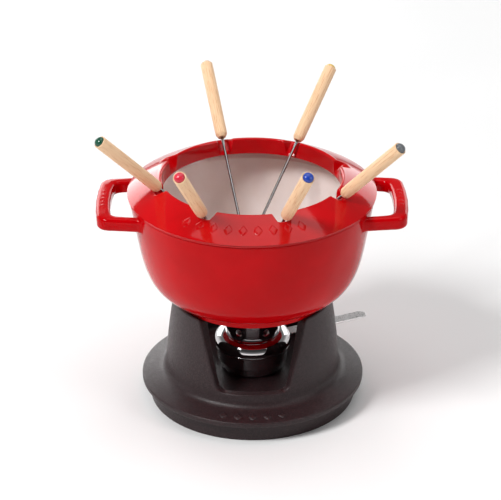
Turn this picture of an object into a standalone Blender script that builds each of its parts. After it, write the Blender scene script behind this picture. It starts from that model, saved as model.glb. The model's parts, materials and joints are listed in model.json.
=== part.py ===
"""Fondue pot set: cast-iron stand, burner, enamelled pot, fork ring and six forks.

Lengths in the dimension block are millimetres. The origin is the centre of the
stand's underside, +Z is up and -Y is the front.
"""
import math

import bmesh
import bpy
from mathutils import Matrix, Vector

MM = 0.001
GAP = 0.3                      # air left between pieces that touch

# ---- driving dimensions, millimetres -------------------------------------------------

# Stand: a drum with a flange, and a tower cut into three posts
DRUM_R = 95.0
DRUM_WALL = 5.5
FLANGE_R = 102.6
FLANGE_Z = 17.4
FLANGE_EDGE = 4.0
TOWER_FOOT_R = 80.4
TOWER_TOP_R = 73.9
TOWER_WALL = 7.2
RIM_Z = 102.6
LEDGE_Z = 100.4
LEDGE_R = 70.3
FLOOR_Z = 26.0
FLOOR_THICK = 5.0
WINDOW_AZIMUTHS = (30.0, 150.0, 270.0)
WINDOW_SILL_Z = 38.0
WINDOW_HALF_LOW = 23.5         # half angle at the sill, degrees
WINDOW_HALF_HIGH = 40.0        # half angle at the rim, degrees
WINDOW_CORNER = 9.0
POST_CORNER = 6.0

# Pot
POT_FOOT_Z = LEDGE_Z + GAP
POT_FOOT_R = 69.6
POT_RIM_R = 110.5
POT_RIM_Z = 201.5
POT_WALL = 4.8
POT_FLOOR_Z = 107.6
EAR_REACH = 140.3
EAR_TOP_Z = 197.0
EAR_THICK = 12.5
EAR_ROUND = 3.2

# Fork ring
RING_R = 112.0
RING_HOLE_R = 80.6
RING_SEAT_Z = POT_RIM_Z + GAP
RING_TOP_Z = 219.5
RING_SHELL = 4.0
LIP_BOTTOM_Z = 204.0
SKIRT_R = 103.2
NOTCH_COUNT = 8
NOTCH_FIRST = 17.7             # azimuth of the first notch, degrees
NOTCH_WIDTH = 12.6
NOTCH_OUTER_R = 90.3           # where the notch floor runs out of the dome
NOTCH_OUTER_Z = 215.2
NOTCH_INNER_Z = 206.2          # height of the notch floor at the hole
NOTCH_CORNER = 4.0

# Forks, measured along the fork from the handle's lower end
HANDLE_LENGTH = 80.0
HANDLE_R = 5.7
HANDLE_LOW_R = 5.5
CAP_R = 4.6
CAP_HEIGHT = 4.1
SHAFT_R = 1.3
SHAFT_LENGTH = 140.0
TANG_LENGTH = 18.0
TINE_LENGTH = 22.0
HEAD_WIDTH = 8.0
HEAD_THICK = 1.6
TINE_WIDTH = 1.7

# colour name: radius, azimuth and height of the handle's lower end, the tilt from
# the vertical and how far the fork is turned away from pointing at the pot's axis
FORKS = {
    "green": (85.9, 196.7, 218.3, 44.6, 11.9),
    "red": (88.3, 240.9, 218.3, 43.1, 10.4),
    "blue": (88.3, 289.3, 218.2, 41.4, 0.1),
    "grey": (89.9, 333.6, 218.4, 43.8, -6.2),
    "natural": (86.4, 108.5, 220.0, 53.4, -5.1),
    "yellow": (87.9, 61.3, 218.7, 50.8, -2.3),
}

# Burner
BURNER_Z = FLOOR_Z + GAP
CUP_FOOT_R = 28.5
CUP_R = 33.4
CUP_RIM_Z = 50.2
CUP_WALL = 1.4
SEAM_R = 35.2
COVER_Z = CUP_RIM_Z + GAP
SHOULDER_Z = 53.4
NECK_R = 25.0
NECK_BASE_Z = 62.8
NECK_TOP_Z = 79.0
COVER_WALL = 1.1
VENT_COUNT = 6
VENT_R = 3.6
VENT_Z = 70.0
SLEEVE_CLEAR = 0.4
SLEEVE_WALL = 1.2
SLEEVE_FLANGE_R = 31.0
SLEEVE_FLANGE_Z = 52.8
SLEEVE_FLANGE_THICK = 1.2
LEVER_AZIMUTH = 25.0
LEVER_REACH = 118.0
LEVER_ROOT_R = 26.0
LEVER_WIDTH = 12.0
LEVER_THICK = 1.6
LEVER_SWING = (-12.0, 15.0)    # degrees from rest
RIVET_R = 1.0
RIVET_HEAD_R = 2.0
RIVET_OFFSET = 3.4             # of each rivet from the lever's centre line
RIVET_RADIUS = 28.5            # distance of the rivets from the burner's axis

# Facets round one turn
FACETS_LARGE = 60
FACETS_BURNER = 24
FACETS_FORK = 12


# ---- small helpers -------------------------------------------------------------------

def clear_scene():
    for old in list(bpy.data.objects):
        bpy.data.objects.remove(old, do_unlink=True)


def make_material(name, colour, roughness, metallic=0.0):
    material = bpy.data.materials.new(name)
    material.use_nodes = True
    shader = material.node_tree.nodes["Principled BSDF"]
    shader.inputs["Base Color"].default_value = (*colour, 1.0)
    shader.inputs["Roughness"].default_value = roughness
    shader.inputs["Metallic"].default_value = metallic
    return material


def add_object(name, bm, material=None):
    """Turn a bmesh in millimetres into a named object in metres."""
    bmesh.ops.recalc_face_normals(bm, faces=bm.faces)
    bmesh.ops.scale(bm, vec=(MM, MM, MM), verts=bm.verts)
    mesh = bpy.data.meshes.new(name)
    bm.to_mesh(mesh)
    bm.free()
    mesh.shade_smooth()
    mesh.set_sharp_from_angle(angle=math.radians(35))
    if material:
        mesh.materials.append(material)
    thing = bpy.data.objects.new(name, mesh)
    bpy.context.scene.collection.objects.link(thing)
    return thing


def add_cutter(name, bm):
    cutter = add_object(name, bm)
    cutter.hide_render = True
    cutter.display_type = 'WIRE'
    return cutter


def add_boolean(target, tool, operation='DIFFERENCE'):
    modifier = target.modifiers.new(tool.name, 'BOOLEAN')
    modifier.operation = operation
    modifier.solver = 'EXACT'
    modifier.object = tool


def turned(profile, facets):
    """Closed body turned round Z from (radius, height) points.

    The points run from the axis or round a closed section. Points on the axis
    become one vertex.
    """
    bm = bmesh.new()
    rings = []
    for radius, height in profile:
        if radius < 1e-6:
            rings.append([bm.verts.new((0, 0, height))])
            continue
        ring = []
        for step in range(facets):
            angle = math.tau * step / facets
            ring.append(bm.verts.new((radius * math.cos(angle), radius * math.sin(angle), height)))
        rings.append(ring)
    pairs = list(zip(rings, rings[1:]))
    if len(rings[0]) > 1:
        pairs.append((rings[-1], rings[0]))
    for one, two in pairs:
        for step in range(facets):
            after = (step + 1) % facets
            if len(one) == 1:
                bm.faces.new((one[0], two[step], two[after]))
            elif len(two) == 1:
                bm.faces.new((one[step], two[0], one[after]))
            else:
                bm.faces.new((one[step], two[step], two[after], one[after]))
    return bm


def bezier(start, pull_start, pull_end, end, steps):
    """Points on a cubic curve, without its first point."""
    points = []
    for step in range(1, steps + 1):
        t = step / steps
        s = 1 - t
        weights = (s ** 3, 3 * s * s * t, 3 * s * t * t, t ** 3)
        points.append(tuple(
            sum(w * p[axis] for w, p in zip(weights, (start, pull_start, pull_end, end)))
            for axis in (0, 1)))
    return points


def arc(centre, radii, start, end, steps):
    """Points on an elliptical arc, angles in degrees, both ends included."""
    points = []
    for step in range(steps + 1):
        angle = math.radians(start + (end - start) * step / steps)
        points.append((centre[0] + radii[0] * math.cos(angle),
                       centre[1] + radii[1] * math.sin(angle)))
    return points


def fillet(before, corner, after, radius, steps):
    """Round one corner of an outline with an arc that touches both sides."""
    corner = Vector(corner)
    one = (Vector(before) - corner).normalized()
    two = (Vector(after) - corner).normalized()
    half = one.angle(two) / 2
    reach = radius / math.tan(half)
    centre = corner + (one + two).normalized() * radius / math.sin(half)
    first = corner + one * reach - centre
    last = corner + two * reach - centre
    turn = first.angle_signed(last)
    points = []
    for step in range(steps + 1):
        offset = first.copy()
        offset.rotate(Matrix.Rotation(-turn * step / steps, 2))
        points.append(tuple(centre + offset))
    return points


def prism(outline, low, high):
    """Closed body from an outline in the XY plane."""
    bm = bmesh.new()
    bottom = [bm.verts.new((x, y, low)) for x, y in outline]
    top = [bm.verts.new((x, y, high)) for x, y in outline]
    bm.faces.new(bottom[::-1])
    bm.faces.new(top)
    for step in range(len(outline)):
        after = (step + 1) % len(outline)
        bm.faces.new((bottom[step], bottom[after], top[after], top[step]))
    return bm


def cylinder_between(bm, start, end, radius, facets):
    start = Vector(start)
    end = Vector(end)
    middle = Matrix.Translation((start + end) / 2)
    turn = (end - start).to_track_quat('Z', 'Y').to_matrix().to_4x4()
    bmesh.ops.create_cone(
        bm, cap_ends=True, segments=facets, radius1=radius, radius2=radius,
        depth=(end - start).length, matrix=middle @ turn)


def around(azimuth, radius, height):
    angle = math.radians(azimuth)
    return (radius * math.cos(angle), radius * math.sin(angle), height)


# ---- stand ---------------------------------------------------------------------------

def window_outline():
    """Window outline as (degrees from its centre, height), open past the rim."""
    mean_r = (TOWER_FOOT_R + TOWER_TOP_R) / 2
    low = math.radians(WINDOW_HALF_LOW) * mean_r
    high = math.radians(WINDOW_HALF_HIGH) * mean_r
    past = 9.0
    side = fillet((0, WINDOW_SILL_Z), (low, WINDOW_SILL_Z), (high, RIM_Z), WINDOW_CORNER, 4)
    side += fillet((low, WINDOW_SILL_Z), (high, RIM_Z + 0.1), (high + past, RIM_Z + 0.1), POST_CORNER, 3)
    side.append((high + past, RIM_Z + 0.1))
    side.append((high + past, RIM_Z + past))
    outline = side + [(-s, z) for s, z in reversed(side)]
    return [(math.degrees(s / mean_r), z) for s, z in outline]


def window_cutter():
    """Three wedges with radial sides, one for each window."""
    inner = 40.0
    outer = FLANGE_R + 10.0
    bm = bmesh.new()
    for azimuth in WINDOW_AZIMUTHS:
        near = [bm.verts.new(around(azimuth + a, inner, z)) for a, z in window_outline()]
        far = [bm.verts.new(around(azimuth + a, outer, z)) for a, z in window_outline()]
        bm.faces.new(near)
        bm.faces.new(far[::-1])
        for step in range(len(near)):
            after = (step + 1) % len(near)
            bm.faces.new((near[step], far[step], far[after], near[after]))
    return bm


def build_stand(material):
    inner_top = TOWER_TOP_R - TOWER_WALL - 2.5
    inner_low = TOWER_FOOT_R - TOWER_WALL
    under_z = FLOOR_Z - FLOOR_THICK
    profile = [(0, FLOOR_Z)]
    profile += arc((inner_low - 5, FLOOR_Z + 5), (5, 5), -90, 0, 3)
    profile += [
        (inner_top, LEDGE_Z - 4),
        (inner_top, LEDGE_Z),
        (LEDGE_R, LEDGE_Z),
        (LEDGE_R + 0.4, RIM_Z),
        (TOWER_TOP_R - 1.0, RIM_Z),
        (TOWER_TOP_R, RIM_Z - 1.0),
        (74.9, 92.0),
        (78.1, 58.0),
        (TOWER_FOOT_R, 34.0),
    ]
    profile += bezier((TOWER_FOOT_R, 34.0), (80.9, 28.5), (83.0, 26.5), (88.0, 25.3), 4)
    profile += [
        (FLANGE_R - 2.0, FLANGE_Z + FLANGE_EDGE + 0.8),
        (FLANGE_R - 0.8, FLANGE_Z + FLANGE_EDGE),
        (FLANGE_R, FLANGE_Z + 0.6),
        (FLANGE_R - 0.6, FLANGE_Z),
        (DRUM_R, FLANGE_Z),
        (DRUM_R, 0.8),
        (DRUM_R - 0.8, 0),
        (DRUM_R - DRUM_WALL, 0),
        (DRUM_R - DRUM_WALL - 1.0, FLANGE_Z - 3.0),
        (DRUM_R - DRUM_WALL - 5.0, FLANGE_Z + 0.5),
        (60.0, under_z),
        (0, under_z),
    ]
    stand = add_object("stand", turned(profile, FACETS_LARGE), material)
    add_boolean(stand, add_cutter("window_cutter", window_cutter()))
    return stand


# ---- pot -----------------------------------------------------------------------------

def ear_edges():
    """Outer and inner edge of an ear in plan, as matching lists of points."""
    root_r = POT_RIM_R - POT_WALL / 2 - 2.2

    def on_wall(y):
        return (math.sqrt(root_r ** 2 - y ** 2), y)

    def edge(root_y, corner, radius, mid):
        first = on_wall(root_y)
        half = [first]
        half += fillet(first, corner, mid, radius, 4)
        half.append(mid)
        return half

    outer = edge(47.5, (137.0, 42.5), 11.0, (EAR_REACH - 0.8, 20.0))
    inner = edge(38.5, (124.6, 34.6), 8.0, (126.6, 18.0))
    outer += [(EAR_REACH, 0)] + [(x, -y) for x, y in reversed(outer)]
    inner += [(127.2, 0)] + [(x, -y) for x, y in reversed(inner)]
    return outer, inner


def ear(side):
    """One loop ear, reaching along +X or -X, its ends buried in the pot's wall."""
    low = EAR_TOP_Z - EAR_THICK
    bm = bmesh.new()
    sections = []
    for out, inn in zip(*ear_edges()):
        out = Vector(out)
        inn = Vector(inn)
        inset = (inn - out).normalized() * EAR_ROUND
        corners = [
            (out, low + EAR_ROUND), (out, EAR_TOP_Z - EAR_ROUND),
            (out + inset, EAR_TOP_Z), (inn - inset, EAR_TOP_Z),
            (inn, EAR_TOP_Z - EAR_ROUND), (inn, low + EAR_ROUND),
            (inn - inset, low), (out + inset, low),
        ]
        sections.append([bm.verts.new((side * p.x, p.y, z)) for p, z in corners])
    for one, two in zip(sections, sections[1:]):
        for step in range(len(one)):
            after = (step + 1) % len(one)
            bm.faces.new((one[step], one[after], two[after], two[step]))
    bm.faces.new(sections[0])
    bm.faces.new(sections[-1])
    return bm


def build_pot(material):
    flare_start = (103.8, 162.0)
    profile = [(0, POT_FLOOR_Z), (48.0, POT_FLOOR_Z)]
    profile += bezier((48.0, POT_FLOOR_Z), (72.0, 107.8), (92.3, 122.0), (98.9, 162.0), 6)
    profile += [
        (104.4, 197.5),
        (105.2, 200.8),
        (106.2, POT_RIM_Z),
        (POT_RIM_R - 0.8, POT_RIM_Z),
        (POT_RIM_R, POT_RIM_Z - 0.8),
        flare_start,
    ]
    profile += bezier(flare_start, (98.2, 128.5), (92.1, 113.5), (71.0, 107.3), 7)
    profile += [
        (POT_FOOT_R + 0.2, 105.8),
        (POT_FOOT_R, POT_FOOT_Z + 0.8),
        (POT_FOOT_R - 0.8, POT_FOOT_Z),
        (62.5, POT_FOOT_Z),
        (60.5, POT_FOOT_Z + 2.0),
        (0, POT_FOOT_Z + 2.4),
    ]
    pot = add_object("pot", turned(profile, FACETS_LARGE), material)
    for name, side in (("ear_left", -1), ("ear_right", 1)):
        add_boolean(pot, add_cutter(name, ear(side)), 'UNION')
    return pot


# ---- fork ring -----------------------------------------------------------------------

def notch_cutter():
    """Sloping troughs that carry the forks over the ring's inner edge."""
    inner_r = RING_HOLE_R - 8.0
    outer_r = NOTCH_OUTER_R + 12.0
    slope = (NOTCH_OUTER_Z - NOTCH_INNER_Z) / (NOTCH_OUTER_R - RING_HOLE_R)
    half = NOTCH_WIDTH / 2
    height = 26.0
    section = fillet((-half, height), (-half, 0), (half, 0), NOTCH_CORNER, 3)
    section += fillet((-half, 0), (half, 0), (half, height), NOTCH_CORNER, 3)
    section += [(half, height), (-half, height)]
    bm = bmesh.new()
    for number in range(NOTCH_COUNT):
        azimuth = math.radians(NOTCH_FIRST + number * 360.0 / NOTCH_COUNT)
        along = Vector((math.cos(azimuth), math.sin(azimuth), 0))
        across = Vector((-math.sin(azimuth), math.cos(azimuth), 0))
        ends = []
        for radius in (inner_r, outer_r):
            floor_z = NOTCH_OUTER_Z + slope * (radius - NOTCH_OUTER_R)
            centre = along * radius + Vector((0, 0, floor_z))
            ends.append([bm.verts.new(centre + across * s + Vector((0, 0, z))) for s, z in section])
        near, far = ends
        bm.faces.new(near)
        bm.faces.new(far[::-1])
        for step in range(len(near)):
            after = (step + 1) % len(near)
            bm.faces.new((near[step], far[step], far[after], near[after]))
    return bm


def build_fork_ring(material):
    lip = RING_HOLE_R + RING_SHELL
    profile = [(RING_R, RING_SEAT_Z + 2.6)]
    profile += bezier((RING_R, RING_SEAT_Z + 2.6), (103.0, 210.2), (92.0, 215.2), (84.6, 218.5), 5)
    profile += [
        (82.6, RING_TOP_Z),
        (81.2, RING_TOP_Z - 0.4),
        (RING_HOLE_R, RING_TOP_Z - 1.8),
        (RING_HOLE_R, LIP_BOTTOM_Z + 0.8),
        (RING_HOLE_R + 0.8, LIP_BOTTOM_Z),
        (lip, LIP_BOTTOM_Z),
        (lip + 0.4, 213.2),
        (93.0, 210.6),
        (SKIRT_R - 3.0, 206.2),
        (SKIRT_R - 3.0, 197.0),
        (SKIRT_R - 0.6, 197.0),
        (SKIRT_R, 197.8),
        (SKIRT_R, RING_SEAT_Z),
        (RING_R - 0.8, RING_SEAT_Z),
        (RING_R, RING_SEAT_Z + 0.8),
    ]
    ring = add_object("fork_ring", turned(profile, FACETS_LARGE), material)
    add_boolean(ring, add_cutter("notch_cutter", notch_cutter()))
    return ring


# ---- forks ---------------------------------------------------------------------------

def fork_handle():
    """Beech handle with a blind bore for the tang and a recess for the cap."""
    bore = SHAFT_R + GAP
    recess = CAP_R + GAP
    top = HANDLE_LENGTH
    profile = [
        (0, top - 1.0), (recess, top - 1.0), (recess, top), (HANDLE_R - 0.4, top),
        (HANDLE_R, top - 0.6), (HANDLE_R, 0.7 * top), (HANDLE_LOW_R, 8.0),
        (HANDLE_LOW_R - 0.4, 3.2), (HANDLE_LOW_R - 1.3, 0.9), (HANDLE_LOW_R - 2.3, 0),
        (bore, 0), (bore, TANG_LENGTH + GAP), (0, TANG_LENGTH + GAP),
    ]
    return turned(profile, FACETS_FORK)


def fork_cap():
    base = HANDLE_LENGTH - 1.0 + GAP
    dome = arc((0, base + 0.9), (CAP_R, CAP_HEIGHT - 0.9), 0, 90, 3)[:-1]
    profile = [(0, base + CAP_HEIGHT)] + dome[::-1] + [(CAP_R, base), (0, base)]
    return turned(profile, FACETS_FORK)


def fork_head():
    """Flat three-tined head in the local XZ plane, tips pointing down the fork."""
    root = -(SHAFT_LENGTH - TINE_LENGTH - 6.0)
    palm = -(SHAFT_LENGTH - TINE_LENGTH)
    tip = -SHAFT_LENGTH
    half = HEAD_WIDTH / 2
    pitch = half - TINE_WIDTH / 2
    outline = [(-SHAFT_R, root), (-half, palm + 2.0)]
    for centre in (-pitch, 0, pitch):
        outline.append((centre - TINE_WIDTH / 2, palm))
        outline.append((centre - TINE_WIDTH / 2, tip + 4.0))
        outline.append((centre, tip))
        outline.append((centre + TINE_WIDTH / 2, tip + 4.0))
        outline.append((centre + TINE_WIDTH / 2, palm))
    outline += [(half, palm + 2.0), (SHAFT_R, root)]
    bm = prism(outline, -HEAD_THICK / 2, HEAD_THICK / 2)
    bmesh.ops.rotate(bm, matrix=Matrix.Rotation(math.radians(90), 3, 'X'), verts=bm.verts)
    return bm


def fork_shaft_mesh(material):
    """Steel rod joined to its head, as one mesh shared by all forks."""
    bm = bmesh.new()
    end = -(SHAFT_LENGTH - TINE_LENGTH - 2.0)
    cylinder_between(bm, (0, 0, end), (0, 0, TANG_LENGTH), SHAFT_R, 8)
    rod = add_object("rod_blank", bm, material)
    head = add_cutter("head_blank", fork_head())
    add_boolean(rod, head, 'UNION')
    graph = bpy.context.evaluated_depsgraph_get()
    mesh = bpy.data.meshes.new_from_object(rod.evaluated_get(graph))
    mesh.name = "fork_shaft"
    for blank in (rod, head):
        bpy.data.objects.remove(blank, do_unlink=True)
    return mesh


def fork_frame(colour):
    """Empty at the handle's lower end, its Z axis running up the fork."""
    radius, azimuth, height, tilt, turn = FORKS[colour]
    heading = math.radians(azimuth + turn)
    lean = math.radians(tilt)
    along = Vector((math.sin(lean) * math.cos(heading), math.sin(lean) * math.sin(heading),
                    math.cos(lean)))
    across = Vector((-math.sin(heading), math.cos(heading), 0))
    rotation = Matrix((across, along.cross(across), along)).transposed().to_4x4()
    frame = bpy.data.objects.new(f"{colour}_fork_axis", None)
    frame.matrix_world = Matrix.Translation(Vector(around(azimuth, radius, height)) * MM) @ rotation
    frame.empty_display_size = 0.02
    bpy.context.scene.collection.objects.link(frame)
    return frame


def build_forks(wood, steel, cap_colours):
    handle_mesh = None
    shaft_mesh = fork_shaft_mesh(steel)
    for colour in FORKS:
        frame = fork_frame(colour)
        handle = add_object(f"{colour}_fork_handle", fork_handle(), wood)
        if handle_mesh is None:
            handle_mesh = handle.data
        handle.data = handle_mesh
        shaft = bpy.data.objects.new(f"{colour}_fork_shaft", shaft_mesh)
        bpy.context.scene.collection.objects.link(shaft)
        cap_material = make_material(f"{colour}_cap", cap_colours[colour], 0.25)
        cap = add_object(f"{colour}_fork_cap", fork_cap(), cap_material)
        for piece in (handle, shaft, cap):
            piece.parent = frame


# ---- burner --------------------------------------------------------------------------

def build_burner_cup(material):
    rim_low = CUP_RIM_Z - 1.0
    profile = [(0, BURNER_Z)]
    profile += arc((CUP_FOOT_R - 3.0, BURNER_Z + 4.0), (5.0, 4.0), -90, -10, 3)
    profile += [
        (31.6, 35.2), (32.3, 36.2), (CUP_R, rim_low - 1.2), (SEAM_R - 0.3, rim_low),
        (SEAM_R - 0.3, CUP_RIM_Z), (CUP_R - CUP_WALL, CUP_RIM_Z),
        (CUP_R - CUP_WALL - 1.0, 37.0), (CUP_FOOT_R, BURNER_Z + 3.4),
        (CUP_FOOT_R - 3.0, BURNER_Z + CUP_WALL), (0, BURNER_Z + CUP_WALL),
    ]
    return add_object("burner_cup", turned(profile, FACETS_BURNER), material)


def build_pad_and_gauze(pad_material, gauze_material, ring_material):
    pad_low = BURNER_Z + CUP_WALL + GAP
    pad_top = 43.5
    pad = [(0, pad_low), (24.5, pad_low), (28.0, pad_low + 4.0), (29.6, pad_top), (0, pad_top)]
    add_object("absorbent_pad", turned(pad, FACETS_BURNER), pad_material)
    low = pad_top + GAP
    gauze = [(0, low), (29.8, low), (29.8, low + 0.6), (0, low + 0.6)]
    add_object("burner_gauze", turned(gauze, FACETS_BURNER), gauze_material)
    low += 0.6 + GAP
    ring = [(27.0, low), (30.4, low), (30.8, low + 2.4), (29.8, low + 2.4), (29.4, low + 0.9),
            (27.0, low + 0.9)]
    add_object("gauze_ring", turned(ring, FACETS_BURNER), ring_material)


def vent_cutter():
    bm = bmesh.new()
    for number in range(VENT_COUNT):
        azimuth = (number + 0.5) * 360.0 / VENT_COUNT - 90.0
        cylinder_between(bm, around(azimuth, 15.0, VENT_Z), around(azimuth, 32.0, VENT_Z), VENT_R, 10)
    return bm


def lever_slot_cutter():
    """Gap in the cover's skirt that the lever swings through."""
    spare = 10.5
    steps = 8
    start = LEVER_AZIMUTH + LEVER_SWING[0] - spare
    end = LEVER_AZIMUTH + LEVER_SWING[1] + spare
    angles = [start + (end - start) * step / steps for step in range(steps + 1)]
    outline = [around(a, SEAM_R + 3.0, 0)[:2] for a in angles]
    outline += [around(a, SEAM_R - 4.0, 0)[:2] for a in reversed(angles)]
    return prism(outline, COVER_Z - 2.0, COVER_Z + LEVER_THICK + 2 * GAP)


def build_burner_cover(material):
    inner_neck = NECK_R - COVER_WALL
    shoulder = (SEAM_R - NECK_R, NECK_BASE_Z - SHOULDER_Z)
    inside = (SEAM_R - COVER_WALL - inner_neck, shoulder[1] - COVER_WALL)
    profile = arc((NECK_R, SHOULDER_Z), shoulder, 90, 0, 4)
    profile += [(SEAM_R, COVER_Z), (SEAM_R - COVER_WALL, COVER_Z)]
    profile += arc((inner_neck, SHOULDER_Z), inside, 0, 90, 4)
    profile += [
        (inner_neck, NECK_TOP_Z - 0.8), (inner_neck + 0.8, NECK_TOP_Z),
        (NECK_R + 0.9, NECK_TOP_Z), (NECK_R + 1.3, NECK_TOP_Z - 0.9),
        (NECK_R + 0.6, NECK_TOP_Z - 1.8), (NECK_R, NECK_TOP_Z - 2.0),
    ]
    cover = add_object("burner_cover", turned(profile, FACETS_BURNER), material)
    add_boolean(cover, add_cutter("cover_vents", vent_cutter()))
    add_boolean(cover, add_cutter("lever_slot", lever_slot_cutter()))
    return cover


def rivet_places():
    for side in (-1, 1):
        turn = math.degrees(math.atan2(side * RIVET_OFFSET, RIVET_RADIUS))
        yield LEVER_AZIMUTH + turn


def rivet_hole_cutter():
    bm = bmesh.new()
    for azimuth in rivet_places():
        cylinder_between(bm, around(azimuth, RIVET_RADIUS, COVER_Z - 3.0),
                         around(azimuth, RIVET_RADIUS, SLEEVE_FLANGE_Z + 4.0), RIVET_R + GAP, 8)
    return bm


def build_regulator(sleeve_material, lever_material, rivet_material):
    outer = NECK_R - COVER_WALL - SLEEVE_CLEAR
    inner = outer - SLEEVE_WALL
    flange_top = SLEEVE_FLANGE_Z + SLEEVE_FLANGE_THICK
    profile = [
        (inner, NECK_TOP_Z - 2.0), (outer, NECK_TOP_Z - 2.0), (outer, flange_top),
        (SLEEVE_FLANGE_R, flange_top), (SLEEVE_FLANGE_R, SLEEVE_FLANGE_Z), (inner, SLEEVE_FLANGE_Z),
    ]
    sleeve = add_object("regulator_sleeve", turned(profile, FACETS_BURNER), sleeve_material)
    add_boolean(sleeve, add_cutter("sleeve_vents", vent_cutter()))

    half = LEVER_WIDTH / 2
    straight = LEVER_REACH - half
    outline = [(LEVER_ROOT_R, -half), (straight, -half)]
    outline += arc((straight, 0), (half, half), -90, 90, 6)[1:-1]
    outline += [(straight, half), (LEVER_ROOT_R, half)]
    low = COVER_Z + GAP
    bm = prism(outline, low, low + LEVER_THICK)
    turn = Matrix.Rotation(math.radians(LEVER_AZIMUTH), 3, 'Z')
    bmesh.ops.rotate(bm, matrix=turn, verts=bm.verts)
    lever = add_object("regulator_lever", bm, lever_material)

    holes = add_cutter("rivet_holes", rivet_hole_cutter())
    for piece in (sleeve, lever):
        add_boolean(piece, holes)

    head = 0.7
    stack_low = low - GAP
    stack_top = flange_top + GAP
    profile = [
        (0, stack_low - head), (RIVET_HEAD_R, stack_low - head), (RIVET_HEAD_R, stack_low),
        (RIVET_R, stack_low), (RIVET_R, stack_top), (RIVET_HEAD_R, stack_top),
        (RIVET_HEAD_R - 0.6, stack_top + head), (0, stack_top + head),
    ]
    for number, azimuth in enumerate(rivet_places(), start=1):
        bm = turned(profile, 8)
        bmesh.ops.translate(bm, vec=around(azimuth, RIVET_RADIUS, 0), verts=bm.verts)
        add_object(f"lever_rivet_{number}", bm, rivet_material)


# ---- assembly ------------------------------------------------------------------------

def main():
    clear_scene()
    cast_iron = make_material("cast_iron", (0.045, 0.022, 0.025), 0.62, 0.3)
    enamel = make_material("red_enamel", (0.62, 0.0, 0.005), 0.12)
    chrome = make_material("polished_steel", (0.78, 0.78, 0.80), 0.08, 1.0)
    brushed = make_material("brushed_steel", (0.55, 0.55, 0.56), 0.30, 1.0)
    beech = make_material("beech", (0.82, 0.56, 0.34), 0.55)
    fibre = make_material("fibre", (0.70, 0.68, 0.62), 0.95)
    cap_colours = {
        "green": (0.01, 0.10, 0.06),
        "red": (0.75, 0.02, 0.05),
        "blue": (0.02, 0.07, 0.45),
        "grey": (0.20, 0.20, 0.22),
        "natural": (0.85, 0.66, 0.50),
        "yellow": (0.80, 0.55, 0.12),
    }
    build_stand(cast_iron)
    build_pot(enamel)
    build_fork_ring(enamel)
    build_forks(beech, brushed, cap_colours)
    build_burner_cup(chrome)
    build_pad_and_gauze(fibre, brushed, brushed)
    build_burner_cover(chrome)
    build_regulator(brushed, brushed, brushed)


main()
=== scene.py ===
"""Fondue pot set: fine surfaces, materials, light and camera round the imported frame.

Lengths in the dimension block are millimetres, and add_piece turns them into metres. The
origin is the centre of the stand's foot, +Z is up and -Y is the front.
"""

import json
import math

import bmesh
import bpy
import numpy as np
from mathutils import Matrix, Vector


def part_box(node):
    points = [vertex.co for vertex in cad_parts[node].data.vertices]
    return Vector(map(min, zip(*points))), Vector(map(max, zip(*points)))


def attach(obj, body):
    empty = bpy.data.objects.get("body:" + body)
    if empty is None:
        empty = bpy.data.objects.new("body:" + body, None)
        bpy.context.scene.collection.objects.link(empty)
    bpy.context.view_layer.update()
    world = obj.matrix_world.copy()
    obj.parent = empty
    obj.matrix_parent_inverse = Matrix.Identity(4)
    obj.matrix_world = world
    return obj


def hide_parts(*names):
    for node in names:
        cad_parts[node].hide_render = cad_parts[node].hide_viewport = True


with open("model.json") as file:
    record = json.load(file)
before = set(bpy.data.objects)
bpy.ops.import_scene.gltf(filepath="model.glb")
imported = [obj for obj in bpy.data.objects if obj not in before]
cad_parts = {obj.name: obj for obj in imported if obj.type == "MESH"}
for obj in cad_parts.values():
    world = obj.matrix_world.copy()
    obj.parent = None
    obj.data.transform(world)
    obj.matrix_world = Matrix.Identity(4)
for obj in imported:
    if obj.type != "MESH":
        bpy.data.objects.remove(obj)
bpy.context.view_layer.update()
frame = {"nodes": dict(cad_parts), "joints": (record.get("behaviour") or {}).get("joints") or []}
MM = 0.001


def reach(node):
    """Greatest reach along X, lowest and highest point of a CAD node, in millimetres."""
    low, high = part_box(node)
    return high.x / MM, low.z / MM, high.z / MM


# ---- driving dimensions, millimetres -------------------------------------------------

FIT_GAP = 0.3

# Directions in plan, degrees from +X
FRONT = 270.0

# Stand
FLANGE_R, _, RIM_Z = reach("stand")
DRUM_R = FLANGE_R - 7.6
DRUM_WALL = 5.5
FLANGE_Z = 17.4
FLANGE_EDGE = 4.0
TOWER_FOOT_R = 80.4
TOWER_FOOT_Z = 34.0
TOWER_TOP_R = 73.9
TOWER_WALL = 7.2
CONE_R = 88.0
CONE_Z = 25.3
LEDGE_Z = RIM_Z - 2.2
LEDGE_R = 70.3
FLOOR_Z = 26.0
FLOOR_THICK = 5.0
FLOOR_ROUND = 5.0
WINDOW_AZIMUTHS = (30.0, 150.0, FRONT)
WINDOW_SILL_Z = 38.0
WINDOW_HALF_LOW = 23.5         # half angle at the sill, degrees
WINDOW_HALF_HIGH = 40.0        # half angle at the rim, degrees
WINDOW_CORNER = 9.0
POST_MIDDLE = 60.0             # from a window's middle to a post's middle, degrees
POST_CORNER = 6.0
EDGE_ROUND = 1.5
GRID_CORNER = (24.0, 42.0)     # stretch of a window's edge that faces the mesh's corner
CONE_EDGE_Z = FLANGE_Z + FLANGE_EDGE + 0.8
CONE_EDGE_R = FLANGE_R - 2.0
STAND_MARK_R = 93.8
STAND_MARK_PITCH = 8.2         # degrees

# Pot
EAR_REACH, POT_FOOT_Z, POT_RIM_Z = reach("pot")
POT_FOOT_R = 69.6
POT_RIM_R = 110.5
POT_WALL = 4.8
POT_FLOOR_Z = 107.6
EAR_TOP_Z = 197.0
EAR_THICK = 12.5
EAR_ROUND = 3.4
EAR_FILLET = 4.0
EAR_MARK_X = 133.6
EAR_MARK_PITCH = 7.4

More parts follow.
